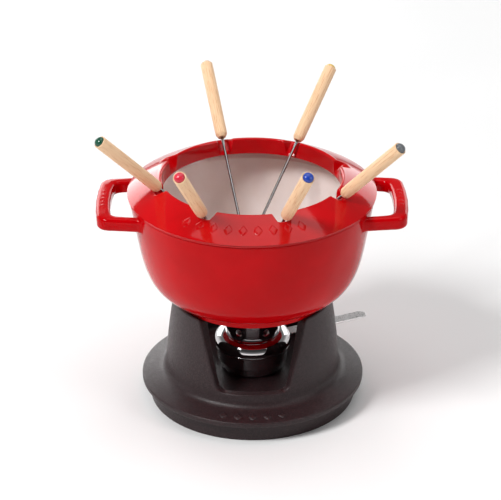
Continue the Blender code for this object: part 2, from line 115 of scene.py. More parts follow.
# Fork ring
RING_R, RING_LOW, RING_TOP_Z = reach("fork_ring")
RING_SEAT_Z = POT_RIM_Z + FIT_GAP
RING_HOLE_R = 80.6
RING_SHELL = 4.0
LIP_BOTTOM_Z = 204.0
SKIRT_R = 103.2
RING_MARK_COUNT = 9
RING_MARK_R = 98.5
RING_MARK_FIRST = 235.0        # degrees
RING_MARK_PITCH = 7.6          # degrees
NOTCH_COUNT = 8
NOTCH_FIRST = 17.7             # azimuth of the first notch, degrees
NOTCH_WIDTH = 12.6
NOTCH_CORNER = 4.0
NOTCH_CORNER_END = 3.4         # where the corner's arc gives way to the steep side
NOTCH_SIDE_SLOPE = 5.0
NOTCH_OUTER_R = 90.3
NOTCH_OUTER_Z = 215.2
NOTCH_INNER_Z = 206.2
NOTCH_SPREAD = 10.0            # half the fine part of the mesh round a notch, degrees
NOTCH_BLEND = 3.2              # how softly the notch runs into the dome

# Forks, measured along the fork from the handle's lower end
HANDLE_LENGTH = 80.0
HANDLE_R = 5.7
HANDLE_LOW_R = 5.5
CAP_R = 4.6
CAP_HEIGHT = 4.1
SHAFT_R = 1.3
SHAFT_LENGTH = 140.0
TANG_LENGTH = 18.0
TINE_LENGTH = 22.0
HEAD_WIDTH = 8.0
HEAD_THICK = 1.6
TINE_WIDTH = 1.7
TINE_POINT = 4.0               # length of each tine's point

# Burner
BURNER_Z = FLOOR_Z + FIT_GAP
CUP_FOOT_R = 28.5
CUP_R = 33.4
CUP_RIM_Z = 50.2
CUP_WALL = 1.4
SEAM_R = 35.2
COVER_Z = CUP_RIM_Z + FIT_GAP
SHOULDER_Z = 53.4
NECK_R = 25.0
NECK_BEAD_R = 26.3
NECK_BASE_Z = 62.8
NECK_TOP_Z = 79.0
COVER_WALL = 1.1
VENT_COUNT = 6
VENT_R = 3.6
VENT_Z = 70.0
SLEEVE_CLEAR = 0.4
SLEEVE_WALL = 1.2
SLEEVE_FLANGE_R = 31.0
SLEEVE_FLANGE_Z = 52.8
SLEEVE_FLANGE_THICK = 1.2
LEVER_AZIMUTH = 25.0
LEVER_SWING = (-12.0, 15.0)    # degrees from rest
SLOT_SPARE = 10.5              # slot past the lever's middle at each limit, degrees
LEVER_REACH = 118.0
LEVER_ROOT_R = 26.0
LEVER_WIDTH = 12.0
LEVER_Z = COVER_Z + FIT_GAP
LEVER_THICK = 1.6
RIVET_HEAD_R = 2.0
RIVET_HEAD = 0.7
RIVET_OFFSET = 3.4
RIVET_RADIUS = 28.5

# Studio
WORLD_DIM = 0.22               # overhead and behind the viewer, against 1.0 at the back
LENS = 162.6
CAMERA_PLACE = (-0.0015, -1.839, 1.068)     # metres
CAMERA_TILT = 63.33            # degrees
CAMERA_ROLL = -0.004           # radians

# Colours, linear
ENAMEL_RED = (0.54, 0.0004, 0.003)
ENAMEL_DEEP = (0.47, 0.0002, 0.002)
CREAM = (0.90, 0.82, 0.79)
CREAM_WARM = (0.86, 0.76, 0.71)
IRON = (0.016, 0.007, 0.008)
IRON_GRAIN = (0.060, 0.034, 0.037)
BEECH_PALE = (0.86, 0.56, 0.33)
BEECH_FLECK = (0.60, 0.33, 0.16)
STEEL = (0.80, 0.78, 0.78)
SHAFT_STEEL = (0.30, 0.29, 0.29)
CHROME = (0.62, 0.60, 0.61)
FIBRE_SHADE = (0.55, 0.52, 0.47)
FIBRE_LIGHT = (0.78, 0.76, 0.70)
# painted shade: near-black colour for the openings of the gauze's weave, standing for the dark seen
# through them
GAUZE_OPENING_SHADE = (0.08, 0.08, 0.08)
GAUZE_WIRE = (0.55, 0.54, 0.52)
CAP_COLOURS = {
    "green": (0.006, 0.085, 0.045),
    "red": (0.72, 0.02, 0.05),
    "blue": (0.012, 0.055, 0.42),
    "grey": (0.14, 0.15, 0.16),
    "natural": (0.86, 0.62, 0.44),
    "yellow": (0.80, 0.54, 0.12),
}

FACETS_LARGE = 192
FACETS_BURNER = 96
FACETS_FORK = 32


# ---- outlines ------------------------------------------------------------------------

def bezier(start, pull_start, pull_end, end, steps):
    """Points on a cubic curve, without its first point."""
    points = []
    for step in range(1, steps + 1):
        t = step / steps
        s = 1 - t
        weights = (s ** 3, 3 * s * s * t, 3 * s * t * t, t ** 3)
        points.append(tuple(
            sum(w * p[axis] for w, p in zip(weights, (start, pull_start, pull_end, end)))
            for axis in (0, 1)))
    return points


def fillet(before, corner, after, radius, steps=5):
    """Points of an arc that rounds one corner and touches both its sides."""
    corner = Vector(corner[:2])
    one = (Vector(before[:2]) - corner).normalized()
    two = (Vector(after[:2]) - corner).normalized()
    half = one.angle(two) / 2
    centre = corner + (one + two).normalized() * radius / math.sin(half)
    reach_along = radius / math.tan(half)
    first = corner + one * reach_along - centre
    last = corner + two * reach_along - centre
    turn = first.angle_signed(last)
    points = []
    for step in range(steps + 1):
        offset = first.copy()
        offset.rotate(Matrix.Rotation(-turn * step / steps, 2))
        points.append(tuple(centre + offset))
    return points


def rounded(corners, steps=5):
    """An outline from (across, up) or (across, up, radius) corners; a radius rounds its corner."""
    points = []
    for number, corner in enumerate(corners):
        if len(corner) == 2:
            points.append(corner)
            continue
        before = corners[number - 1]
        after = corners[(number + 1) % len(corners)]
        points += fillet(before, corner, after, corner[2], steps)
    return points


def resampled(points, count):
    """The same outline with count + 1 points at equal steps along it."""
    line = np.array(points, float)
    along = np.concatenate([[0.0], np.cumsum(np.linalg.norm(np.diff(line, axis=0), axis=1))])
    at = np.linspace(0.0, along[-1], count + 1)
    return np.stack([np.interp(at, along, line[:, axis]) for axis in (0, 1)], axis=1)


def around(azimuth, radius, height):
    angle = math.radians(azimuth)
    return (radius * math.cos(angle), radius * math.sin(angle), height)


# ---- meshes --------------------------------------------------------------------------

def turned(profile, facets, from_face=None):
    """Closed body turned round Z from (radius, height) points; from_face sets material 1."""
    bm = bmesh.new()
    rings = []
    for radius, height in profile:
        if radius < 1e-6:
            rings.append([bm.verts.new((0, 0, height))])
            continue
        rings.append([bm.verts.new(around(360.0 * step / facets, radius, height))
                      for step in range(facets)])
    pairs = list(zip(rings, rings[1:]))
    if len(rings[0]) > 1:
        pairs.append((rings[-1], rings[0]))
    for number, (one, two) in enumerate(pairs):
        for step in range(facets):
            after = (step + 1) % facets
            if len(one) == 1:
                face = bm.faces.new((one[0], two[step], two[after]))
            elif len(two) == 1:
                face = bm.faces.new((one[step], two[0], one[after]))
            else:
                face = bm.faces.new((one[step], two[step], two[after], one[after]))
            if from_face is not None and number < from_face:
                face.material_index = 1
    return bm


def add_grid(bm, rows):
    """Faces between rows of points; each row has the same number of points."""
    made = [[bm.verts.new(point) for point in row] for row in rows]
    for one, two in zip(made, made[1:]):
        for a, b, c, d in zip(one, one[1:], two[1:], two):
            bm.faces.new((a, b, c, d))


def close_rows(bm, rows):
    """Faces round a row of closed sections, without ends."""
    for one, two in zip(rows, rows[1:]):
        for step in range(len(one)):
            after = (step + 1) % len(one)
            bm.faces.new((one[step], one[after], two[after], two[step]))


def prism(outline, low, high):
    bm = bmesh.new()
    bottom = [bm.verts.new((x, y, low)) for x, y in outline]
    top = [bm.verts.new((x, y, high)) for x, y in outline]
    bm.faces.new(bottom[::-1])
    bm.faces.new(top)
    for step in range(len(outline)):
        after = (step + 1) % len(outline)
        bm.faces.new((bottom[step], bottom[after], top[after], top[step]))
    return bm


def add_piece(name, bm, body, materials, replaced=(), place=None, sharp=38.0, weld=0.0):
    """Turn a bmesh in millimetres into a piece that rides on a body."""
    if weld:
        bmesh.ops.remove_doubles(bm, verts=bm.verts, dist=weld)
    bmesh.ops.recalc_face_normals(bm, faces=bm.faces)
    bmesh.ops.scale(bm, vec=(MM, MM, MM), verts=bm.verts)
    mesh = bpy.data.meshes.new(name)
    bm.to_mesh(mesh)
    bm.free()
    mesh.shade_smooth()
    mesh.set_sharp_from_angle(angle=math.radians(sharp))
    for material in materials:
        mesh.materials.append(material)
    piece = bpy.data.objects.new(name, mesh)
    bpy.context.scene.collection.objects.link(piece)
    if place is not None:
        piece.matrix_world = place
    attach(piece, body)
    if replaced:
        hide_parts(*replaced)
    return piece


def cut(piece, bm):
    """Take a closed shape away from a piece, at once."""
    bmesh.ops.recalc_face_normals(bm, faces=bm.faces)
    bmesh.ops.scale(bm, vec=(MM, MM, MM), verts=bm.verts)
    mesh = bpy.data.meshes.new("cutter")
    bm.to_mesh(mesh)
    bm.free()
    cutter = bpy.data.objects.new("cutter", mesh)
    bpy.context.scene.collection.objects.link(cutter)
    modifier = piece.modifiers.new("cut", 'BOOLEAN')
    modifier.operation = 'DIFFERENCE'
    modifier.solver = 'EXACT'
    modifier.object = cutter
    bpy.context.view_layer.update()
    graph = bpy.context.evaluated_depsgraph_get()
    result = bpy.data.meshes.new_from_object(piece.evaluated_get(graph))
    piece.modifiers.clear()
    piece.data = result
    bpy.data.objects.remove(cutter, do_unlink=True)


def add_bevel(piece, width, segments=3, angle=40.0):
    bevel = piece.modifiers.new("rounded edges", 'BEVEL')
    bevel.width = width * MM
    bevel.segments = segments
    bevel.limit_method = 'ANGLE'
    bevel.angle_limit = math.radians(angle)
    bevel.harden_normals = True


# ---- materials -----------------------------------------------------------------------

class Surface:
    """A Principled material with the few node helpers that the surfaces share."""

    def __init__(self, name, colour, roughness, metallic=0.0, specular=0.5):
        self.material = bpy.data.materials.new(name)
        self.material.use_nodes = True
        self.tree = self.material.node_tree
        self.shader = self.tree.nodes["Principled BSDF"]
        self.set("Base Color", (*colour, 1.0))
        self.set("Roughness", roughness)
        self.set("Metallic", metallic)
        self.set("Specular IOR Level", specular)
        self.coordinates = self.tree.nodes.new("ShaderNodeTexCoord").outputs["Object"]
        self.bumped = None

    def set(self, socket, value):
        self.shader.inputs[socket].default_value = value

    def noise(self, scale, detail=4.0, roughness=0.55, stretch=None):
        """Noise over the object's own coordinates; scale is in features for each metre."""
        source = self.coordinates
        if stretch:
            mapping = self.tree.nodes.new("ShaderNodeMapping")
            mapping.inputs["Scale"].default_value = stretch
            self.tree.links.new(source, mapping.inputs["Vector"])
            source = mapping.outputs["Vector"]
        node = self.tree.nodes.new("ShaderNodeTexNoise")
        node.inputs["Scale"].default_value = scale
        node.inputs["Detail"].default_value = detail
        node.inputs["Roughness"].default_value = roughness
        self.tree.links.new(source, node.inputs["Vector"])
        return node.outputs["Fac"]

    def ramp(self, source, low, high, value_low, value_high):
        """A smooth change between two values or colours as source runs from low to high."""
        node = self.tree.nodes.new("ShaderNodeValToRGB")
        node.color_ramp.interpolation = 'EASE'
        ends = ((low, value_low), (high, value_high))
        for element, (at, value) in zip(node.color_ramp.elements, ends):
            element.position = at
            if isinstance(value, tuple):
                element.color = (*value, 1.0)
            else:
                element.color = (value, value, value, 1.0)
        self.tree.links.new(source, node.inputs["Fac"])
        return node.outputs["Color"]

    def colour(self, source):
        self.tree.links.new(source, self.shader.inputs["Base Color"])

    def roughness(self, source):
        self.tree.links.new(source, self.shader.inputs["Roughness"])

    def bump(self, source, strength, distance):
        """Bump by distance millimetres; later calls stack on earlier ones."""
        node = self.tree.nodes.new("ShaderNodeBump")
        node.inputs["Strength"].default_value = strength
        node.inputs["Distance"].default_value = distance * MM
        self.tree.links.new(source, node.inputs["Height"])
        if self.bumped:
            self.tree.links.new(self.bumped, node.inputs["Normal"])
        self.bumped = node.outputs["Normal"]
        self.tree.links.new(self.bumped, self.shader.inputs["Normal"])


def red_enamel(name, specular):
    """Vitreous enamel: deep red, glossy, with the soft waves of a fired coat."""
    look = Surface(name, ENAMEL_RED, 0.08, specular=specular)
    look.colour(look.ramp(look.noise(18.0, 3.0), 0.35, 0.65, ENAMEL_DEEP, ENAMEL_RED))
    look.roughness(look.ramp(look.noise(90.0, 3.0), 0.3, 0.7, 0.055, 0.115))
    look.bump(look.noise(140.0, 2.0), 0.10, 0.25)
    look.bump(look.noise(1500.0, 1.0), 0.04, 0.04)
    return look.material


def cream_enamel():
    look = Surface("cream_enamel", CREAM, 0.16, specular=0.4)
    look.colour(look.ramp(look.noise(30.0, 4.0), 0.3, 0.7, CREAM_WARM, CREAM))
    look.roughness(look.ramp(look.noise(200.0, 2.0), 0.3, 0.7, 0.13, 0.22))
    look.bump(look.noise(220.0, 2.0), 0.12, 0.2)
    return look.material


def cast_iron():
    """Matt black-brown casting with a sandy grain."""
    look = Surface("cast_iron", IRON, 0.5, specular=0.34)
    look.colour(look.ramp(look.noise(1100.0, 5.0, 0.7), 0.42, 0.72, IRON, IRON_GRAIN))
    look.roughness(look.ramp(look.noise(700.0, 3.0), 0.3, 0.7, 0.30, 0.50))
    look.bump(look.noise(60.0, 3.0), 0.20, 0.35)
    look.bump(look.noise(900.0, 4.0, 0.7), 0.9, 0.22)
    return look.material


def beech():
    """Sanded beech: long pale grain with short darker flecks along the handle."""
    look = Surface("beech", BEECH_PALE, 0.5, specular=0.35)
    streaks = look.noise(260.0, 5.0, 0.6, stretch=(1.0, 1.0, 0.06))
    flecks = look.noise(1500.0, 2.0, 0.5, stretch=(1.0, 1.0, 0.05))
    grain = look.tree.nodes.new("ShaderNodeMix")
    grain.data_type = 'RGBA'
    grain.blend_type = 'MULTIPLY'
    grain.inputs["Factor"].default_value = 0.55
    pale = look.ramp(streaks, 0.25, 0.75, (0.92, 0.66, 0.42), BEECH_PALE)
    dark = look.ramp(flecks, 0.30, 0.48, BEECH_FLECK, (1.0, 1.0, 1.0))
    look.tree.links.new(pale, grain.inputs["A"])
    look.tree.links.new(dark, grain.inputs["B"])
    look.colour(grain.outputs["Result"])
    look.roughness(look.ramp(streaks, 0.3, 0.7, 0.42, 0.6))
    look.bump(flecks, 0.25, 0.12)
    return look.material


def polished(name, colour, roughest, stretch=None):
    """Polished or brushed metal with faint marks of its finish."""
    look = Surface(name, colour, roughest, metallic=1.0)
    marks = look.noise(900.0, 3.0, stretch=stretch)
    look.roughness(look.ramp(marks, 0.3, 0.7, roughest * 0.6, roughest))
    look.colour(look.ramp(look.noise(40.0, 3.0), 0.3, 0.7, tuple(c * 0.9 for c in colour), colour))
    look.bump(marks, 0.06, 0.03)
    return look.material


def cap_paint(name, colour):
    look = Surface(name, colour, 0.18, specular=0.6)
    darker = tuple(c * 0.75 for c in colour)
    look.colour(look.ramp(look.noise(220.0, 3.0), 0.3, 0.7, darker, colour))
    look.roughness(look.ramp(look.noise(400.0, 2.0), 0.3, 0.7, 0.12, 0.26))
    look.bump(look.noise(600.0, 2.0), 0.1, 0.05)
    return look.material


def fibre():
    look = Surface("fibre", (0.7, 0.68, 0.62), 0.95, specular=0.2)
    look.colour(look.ramp(look.noise(600.0, 5.0), 0.35, 0.65, FIBRE_SHADE, FIBRE_LIGHT))
    look.bump(look.noise(900.0, 4.0), 0.8, 0.4)
    return look.material


def gauze():
    """Plain-woven wire, as two crossed sets of waves, with painted shade: the openings between the
    wires are coloured near black.
    """
    look = Surface("wire_gauze", (0.45, 0.44, 0.42), 0.35, metallic=1.0)
    crossing = look.tree.nodes.new("ShaderNodeMath")
    crossing.operation = 'MULTIPLY'
    for number, direction in enumerate(('X', 'Y')):
        wires = look.tree.nodes.new("ShaderNodeTexWave")
        wires.bands_direction = direction
        wires.inputs["Scale"].default_value = 260.0
        look.tree.links.new(look.coordinates, wires.inputs["Vector"])
        look.tree.links.new(wires.outputs["Fac"], crossing.inputs[number])
    # the openings are painted near black as painted shade; the wires keep their own steel grey
    look.colour(look.ramp(crossing.outputs["Value"], 0.1, 0.5, GAUZE_OPENING_SHADE, GAUZE_WIRE))
    look.bump(crossing.outputs["Value"], 0.9, 0.4)
    return look.material


# ---- stand ---------------------------------------------------------------------------

def cove_line():
    """The stand's outer line from the tower's foot down over the cone to the flange."""
    line = [(TOWER_FOOT_R, TOWER_FOOT_Z)]
    line += bezier((TOWER_FOOT_R, TOWER_FOOT_Z), (80.9, 28.5), (83.0, 26.5), (CONE_R, CONE_Z), 24)
    line.append((CONE_EDGE_R, CONE_EDGE_Z))
    line = np.array(line)
    along = np.concatenate([[0.0], np.cumsum(np.linalg.norm(np.diff(line, axis=0), axis=1))])
    return line, along


COVE, COVE_ALONG = cove_line()
GRID_LOW = TOWER_FOOT_Z - COVE_ALONG[-1]
MEAN_R = (TOWER_FOOT_R + TOWER_TOP_R) / 2


def outer_point(level):
    """Radius and height of the outer surface; below the tower's foot, level follows the cove."""
    if level >= TOWER_FOOT_Z:
        slope = (TOWER_FOOT_R - TOWER_TOP_R) / (RIM_Z - TOWER_FOOT_Z)
        return TOWER_FOOT_R - slope * (level - TOWER_FOOT_Z), level
    down = TOWER_FOOT_Z - level
    return (float(np.interp(down, COVE_ALONG, COVE[:, 0])),
            float(np.interp(down, COVE_ALONG, COVE[:, 1])))


def inner_radius(height):
    low = TOWER_FOOT_R - TOWER_WALL
    top = TOWER_TOP_R - TOWER_WALL - 2.5
    return float(np.interp(height, (FLOOR_Z + FLOOR_ROUND, LEDGE_Z - 4.0), (low, top)))


def window_edge(steps):
    """Half a window's edge as (arc length from its centre, height), on to the post's middle."""
    low = math.radians(WINDOW_HALF_LOW) * MEAN_R
    high = math.radians(WINDOW_HALF_HIGH) * MEAN_R
    middle = math.radians(POST_MIDDLE) * MEAN_R
    line = [(0.0, WINDOW_SILL_Z)]
    line += fillet((0, WINDOW_SILL_Z), (low, WINDOW_SILL_Z), (high, RIM_Z), WINDOW_CORNER, 16)
    line += fillet((low, WINDOW_SILL_Z), (high, RIM_Z), (middle, RIM_Z), POST_CORNER, 10)
    line.append((middle, RIM_Z))
    return resampled(line, steps)


def into_wall(edge, distance):
    """The edge moved into the material, which lies on its right."""
    ahead = np.gradient(edge, axis=0)
    ahead /= np.linalg.norm(ahead, axis=1)[:, None]
    right = np.stack([ahead[:, 1], -ahead[:, 0]], axis=1)
    right[0] = (0, -1)
    right[-1] = (0, -1)
    return edge + right * distance


def grid_frame(edge, low_level):
    """For each edge point, its partner on the bottom line or on the post's middle."""
    middle = edge[-1, 0]
    side = RIM_Z - 8.0 - low_level
    along = np.concatenate([[0.0], np.cumsum(np.linalg.norm(np.diff(edge, axis=0), axis=1))])
    at = np.interp(along, (0.0, *GRID_CORNER, along[-1]),
                   (0.0, middle * 0.72, middle, middle + side))
    return np.stack([np.minimum(at, middle), low_level + np.maximum(at - middle, 0.0)], axis=1)


def stand_point(azimuth, radius, height):
    """The pot's ledge cuts down whatever lies inside it."""
    if radius < LEDGE_R + 0.1:
        height = min(height, LEDGE_Z)
    return around(azimuth, radius, height)


def add_half_window(bm, centre, side):
    """Both skins, rounded edges and wall from a window's centre to a post's middle."""
    edge = window_edge(96)

    def azimuth(length):
        return centre + side * math.degrees(length / MEAN_R)

    def skin(start, end, steps, radius_height):
        rows = []
        for step in range(steps + 1):
            t = step / steps
            row = []
            for (s0, z0), (s1, z1) in zip(start, end):
                radius, height = radius_height(z0 + (z1 - z0) * t)
                row.append(stand_point(azimuth(s0 + (s1 - s0) * t), radius, height))
            rows.append(row)
        add_grid(bm, rows)

    inset = into_wall(edge, EDGE_ROUND)
    skin(inset, grid_frame(edge, GRID_LOW), 32, outer_point)
    skin(inset, grid_frame(edge, FLOOR_Z + FLOOR_ROUND), 16,
         lambda level: (inner_radius(level), level))

    rows = []
    turns = [math.radians(90.0 * step / 5) for step in range(6)]
    for turn in turns:
        line = into_wall(edge, EDGE_ROUND * (1 - math.sin(turn)))
        drop = EDGE_ROUND * (1 - math.cos(turn))
        rows.append([stand_point(azimuth(s), outer_point(z)[0] - drop, z) for s, z in line])
    for fraction in (0.30, 0.42, 0.44, 0.7):
        row = []
        for s, z in edge:
            outer = outer_point(z)[0] - EDGE_ROUND
            inner = inner_radius(z) + EDGE_ROUND
            row.append(stand_point(azimuth(s), outer + (inner - outer) * fraction, z))
        rows.append(row)
    for turn in reversed(turns):
        line = into_wall(edge, EDGE_ROUND * (1 - math.sin(turn)))
        rows.append([stand_point(azimuth(s), inner_radius(z) + EDGE_ROUND * (1 - math.cos(turn)), z)
                     for s, z in line])
    add_grid(bm, rows)


def add_turned_strip(bm, profile, facets):
    """An open surface turned round Z, without ends."""
    rows = [[around(360.0 * step / facets, radius, height) for step in range(facets + 1)]
            for radius, height in profile]
    add_grid(bm, rows)


def build_stand(material):
    bm = bmesh.new()
    for centre in WINDOW_AZIMUTHS:
        for side in (-1, 1):
            add_half_window(bm, centre, side)
    drum_inner = DRUM_R - DRUM_WALL
    under_z = FLOOR_Z - FLOOR_THICK
    outside = rounded([
        (CONE_EDGE_R, CONE_EDGE_Z),
        (FLANGE_R, CONE_EDGE_Z - 0.6, 1.3),
        (FLANGE_R, FLANGE_Z, 0.7),
        (DRUM_R, FLANGE_Z, 1.0),
        (DRUM_R, 0, 0.8),
        (drum_inner, 0, 0.8),
        (drum_inner - 1.0, FLANGE_Z - 3.0, 2.0),
        (drum_inner - 6.0, under_z - 1.0, 2.0),
        (60.0, under_z, 3.0),
        (0.0, under_z),
    ])
    add_turned_strip(bm, outside, FACETS_LARGE)
    corner_r = TOWER_FOOT_R - TOWER_WALL
    floor = fillet((corner_r, FLOOR_Z + 2 * FLOOR_ROUND), (corner_r, FLOOR_Z), (0, FLOOR_Z),
                   FLOOR_ROUND, 6)
    add_turned_strip(bm, floor + [(0.0, FLOOR_Z)], FACETS_LARGE)
    add_piece("stand_casting", bm, "stand", [material], ["stand"],
              weld=0.02, sharp=50.0)


# ---- relief marks --------------------------------------------------------------------

def lozenge(bm, place, half_wide, half_long, height):
    """A raised lozenge with soft edges; place maps (across, along, up) to a point."""
    rings = []
    for level in range(1, 7):
        share = level / 6
        lift = height * (1 - share ** 3) - 0.15 * share ** 6
        ring = []
        for step in range(28):
            turn = math.tau * step / 28
            c = math.cos(turn)
            s = math.sin(turn)
            size = share / (abs(c) ** 1.25 + abs(s) ** 1.25) ** 0.8
            ring.append(bm.verts.new(place(half_wide * size * c, half_long * size * s, lift)))
        rings.append(ring)
    top = bm.verts.new(place(0, 0, height))
    for step in range(28):
        bm.faces.new((top, rings[0][step], rings[0][(step + 1) % 28]))
    close_rows(bm, rings)


def build_stand_marks(material):
    """Five lozenges on the cone above the flange, at the front."""
    bm = bmesh.new()
    slope = (CONE_Z - CONE_EDGE_Z) / (CONE_EDGE_R - CONE_R)
    for number in range(-2, 3):
        azimuth = FRONT + STAND_MARK_PITCH * number

        def place(across, along, up, azimuth=azimuth):
            radius = STAND_MARK_R - along
            height = CONE_Z - slope * (radius - CONE_R) + up
            return around(azimuth + math.degrees(across / STAND_MARK_R), radius, height)

        lozenge(bm, place, 4.2, 4.4, 0.8)
    add_piece("stand_relief", bm, "stand", [material], sharp=60.0)


# ---- pot -----------------------------------------------------------------------------

def build_pot(enamel, lining):
    flare = (103.8, 162.0)
    inside = [(0.0, POT_FLOOR_Z), (48.0, POT_FLOOR_Z)]
    inside += bezier((48.0, POT_FLOOR_Z), (72.0, 107.8), (92.3, 122.0), (98.9, 162.0), 28)
    inside += rounded([(98.9, 162.0), (104.4, 197.5), (106.2, POT_RIM_Z, 1.5)], 4)[1:]
    outside = rounded([(106.2, POT_RIM_Z), (POT_RIM_R, POT_RIM_Z, 1.2), flare], 6)[1:]
    outside += bezier(flare, (98.2, 128.5), (92.1, 113.5), (71.0, 107.3), 36)
    outside += rounded([
        (71.0, 107.3), (POT_FOOT_R, 105.8, 0.8), (POT_FOOT_R, POT_FOOT_Z, 0.8),
        (62.5, POT_FOOT_Z, 0.8), (60.5, POT_FOOT_Z + 2.0, 1.0), (0.0, POT_FOOT_Z + 2.4),
    ], 4)[1:]
    bm = turned(inside + outside, FACETS_LARGE, from_face=len(inside) - 1)
    add_piece("pot_bowl", bm, "pot", [enamel, lining], ["pot"])


def ear_lines(steps):
    """Outer and inner edge of an ear in plan, with matching points at equal steps."""
    root_r = POT_RIM_R - POT_WALL / 2 - 2.2

    def on_wall(y):
        return (math.sqrt(root_r ** 2 - y ** 2), y)

    def edge(root_y, corner, radius, mid, end):
        half = [on_wall(root_y)]
        half += fillet(half[0], corner, mid, radius, 12)
        half += [mid, end]
        line = half + [(x, -y) for x, y in reversed(half[:-1])]
        return resampled(line, steps)

    outer = edge(47.5, (137.0, 42.5), 11.0, (EAR_REACH - 0.8, 20.0), (EAR_REACH, 0))
    inner = edge(38.5, (124.6, 34.6), 8.0, (126.6, 18.0), (127.2, 0))
    return outer, inner


def ear_section(half_wide, half_high, round_r):
    """Points round a rounded rectangle, as (outward, up)."""
    points = []
    for right, up in ((1, 1), (-1, 1), (-1, -1), (1, -1)):
        start = {(1, 1): 0, (-1, 1): 90, (-1, -1): 180, (1, -1): 270}[(right, up)]
        for step in range(6):
            turn = math.radians(start + 90 * step / 5)
            points.append((right * (half_wide - round_r) + round_r * math.cos(turn),
                           up * (half_high - round_r) + round_r * math.sin(turn)))
    return points


def build_ear(name, side, material):
    """One loop ear with rounded edges, flaring a little where it leaves the wall."""
    middle_z = EAR_TOP_Z - EAR_THICK / 2
    bm = bmesh.new()
    rows = []
    for out, inn in zip(*ear_lines(72)):
        centre = Vector((out + inn) / 2)
        outward = Vector(out - inn)
        half_wide = outward.length / 2
        outward.normalize()
        clear = math.hypot(*centre) - (POT_RIM_R - 3.4)
        flare = 0.0
        if clear < EAR_FILLET:
            flare = EAR_FILLET - math.sqrt(EAR_FILLET ** 2 - (EAR_FILLET - max(clear, 0.0)) ** 2)
            flare *= 0.55
        ring = []
        for across, up in ear_section(half_wide + flare, EAR_THICK / 2 + flare * 0.7, EAR_ROUND):
            point = centre + outward * across
            ring.append(bm.verts.new((side * point.x, point.y, middle_z + up)))
        rows.append(ring)
    close_rows(bm, rows)
    bm.faces.new(rows[0])
    bm.faces.new(rows[-1])
    add_piece(name, bm, "pot", [material], sharp=70.0)


def build_ear_marks(name, side, material):
    """Five small lozenges along the top of an ear's outer bar."""
    bm = bmesh.new()
    for number in range(-2, 3):

        def place(across, along, up, number=number):
            y = EAR_MARK_PITCH * number + along
            return (side * (EAR_MARK_X + across), y, EAR_TOP_Z + up - 0.05)

        lozenge(bm, place, 2.7, 2.6, 0.45)
    add_piece(name, bm, "pot", [material], sharp=60.0)


# ---- fork ring -----------------------------------------------------------------------

def ring_profile():
    """Section of the ring as (radius, height), from its outer edge over the dome and back under."""
    lip = RING_HOLE_R + RING_SHELL
    dome_start = (RING_R, RING_SEAT_Z + 2.6)
    dome = bezier(dome_start, (103.0, 210.2), (92.0, 215.2), (84.6, 218.5), 26)
    outside = rounded([(RING_R, RING_SEAT_Z, 0.8), dome_start, dome[2]], 4)[:-2]
    top = rounded([dome[-1], (82.6, RING_TOP_Z + 0.25, 1.6), (RING_HOLE_R, RING_TOP_Z - 0.9, 1.5),
                   (RING_HOLE_R, RING_TOP_Z - 5)], 5)[1:-1]
    wall = [(RING_HOLE_R, z) for z in np.linspace(RING_TOP_Z - 3.5, LIP_BOTTOM_Z + 1.3, 9)]
    under = rounded([
        (RING_HOLE_R, LIP_BOTTOM_Z + 1.0), (RING_HOLE_R, LIP_BOTTOM_Z, 0.9),
        (lip, LIP_BOTTOM_Z, 0.9),
        (lip + 0.4, 213.2, 1.5), (93.0, 210.6), (SKIRT_R - 3.0, 206.2, 1.5),
        (SKIRT_R - 3.0, RING_LOW, 0.7), (SKIRT_R, RING_LOW, 0.7), (SKIRT_R, RING_SEAT_Z),
        (RING_R - 0.8, RING_SEAT_Z),
    ], 4)[1:]
    return outside[1:], dome, top, wall, under


def dome_height(radius):
    _, dome, top, _, _ = ring_profile()
    line = np.array(sorted(dome + top[:3]))
    return float(np.interp(radius, line[:, 0], line[:, 1]))


def trough_height(azimuth, radius):
    """Height of the notch surface over a place, rising steeply past the notch's sides."""
    pitch = 360.0 / NOTCH_COUNT
    off = (azimuth - NOTCH_FIRST + pitch / 2) % pitch - pitch / 2
    across = abs(radius * math.sin(math.radians(off)))
    along = radius * math.cos(math.radians(off))
    slope = (NOTCH_OUTER_Z - NOTCH_INNER_Z) / (NOTCH_OUTER_R - RING_HOLE_R)
    floor = NOTCH_INNER_Z + slope * (along - RING_HOLE_R)
    rise = max(across - (NOTCH_WIDTH / 2 - NOTCH_CORNER), 0.0)
    bend = min(rise, NOTCH_CORNER_END)
    corner = NOTCH_CORNER - math.sqrt(NOTCH_CORNER ** 2 - bend ** 2)
    return floor + corner + (rise - bend) * NOTCH_SIDE_SLOPE


def soft_min(one, two, blend):
    """The lower of two heights, rounded where they meet."""
    part = max(blend - abs(one - two), 0.0) / blend
    return min(one, two) - part * part * blend / 4


def ring_azimuths():
    """Azimuths round the ring, closer together in and beside the notches."""
    pitch = 360.0 / NOTCH_COUNT
    spread = []
    for number in range(NOTCH_COUNT):
        middle = NOTCH_FIRST + number * pitch
        spread += [middle - NOTCH_SPREAD + 2 * NOTCH_SPREAD * step / 60 for step in range(60)]
        spread += [middle + NOTCH_SPREAD + (pitch - 2 * NOTCH_SPREAD) * step / 26
                   for step in range(26)]
    return spread


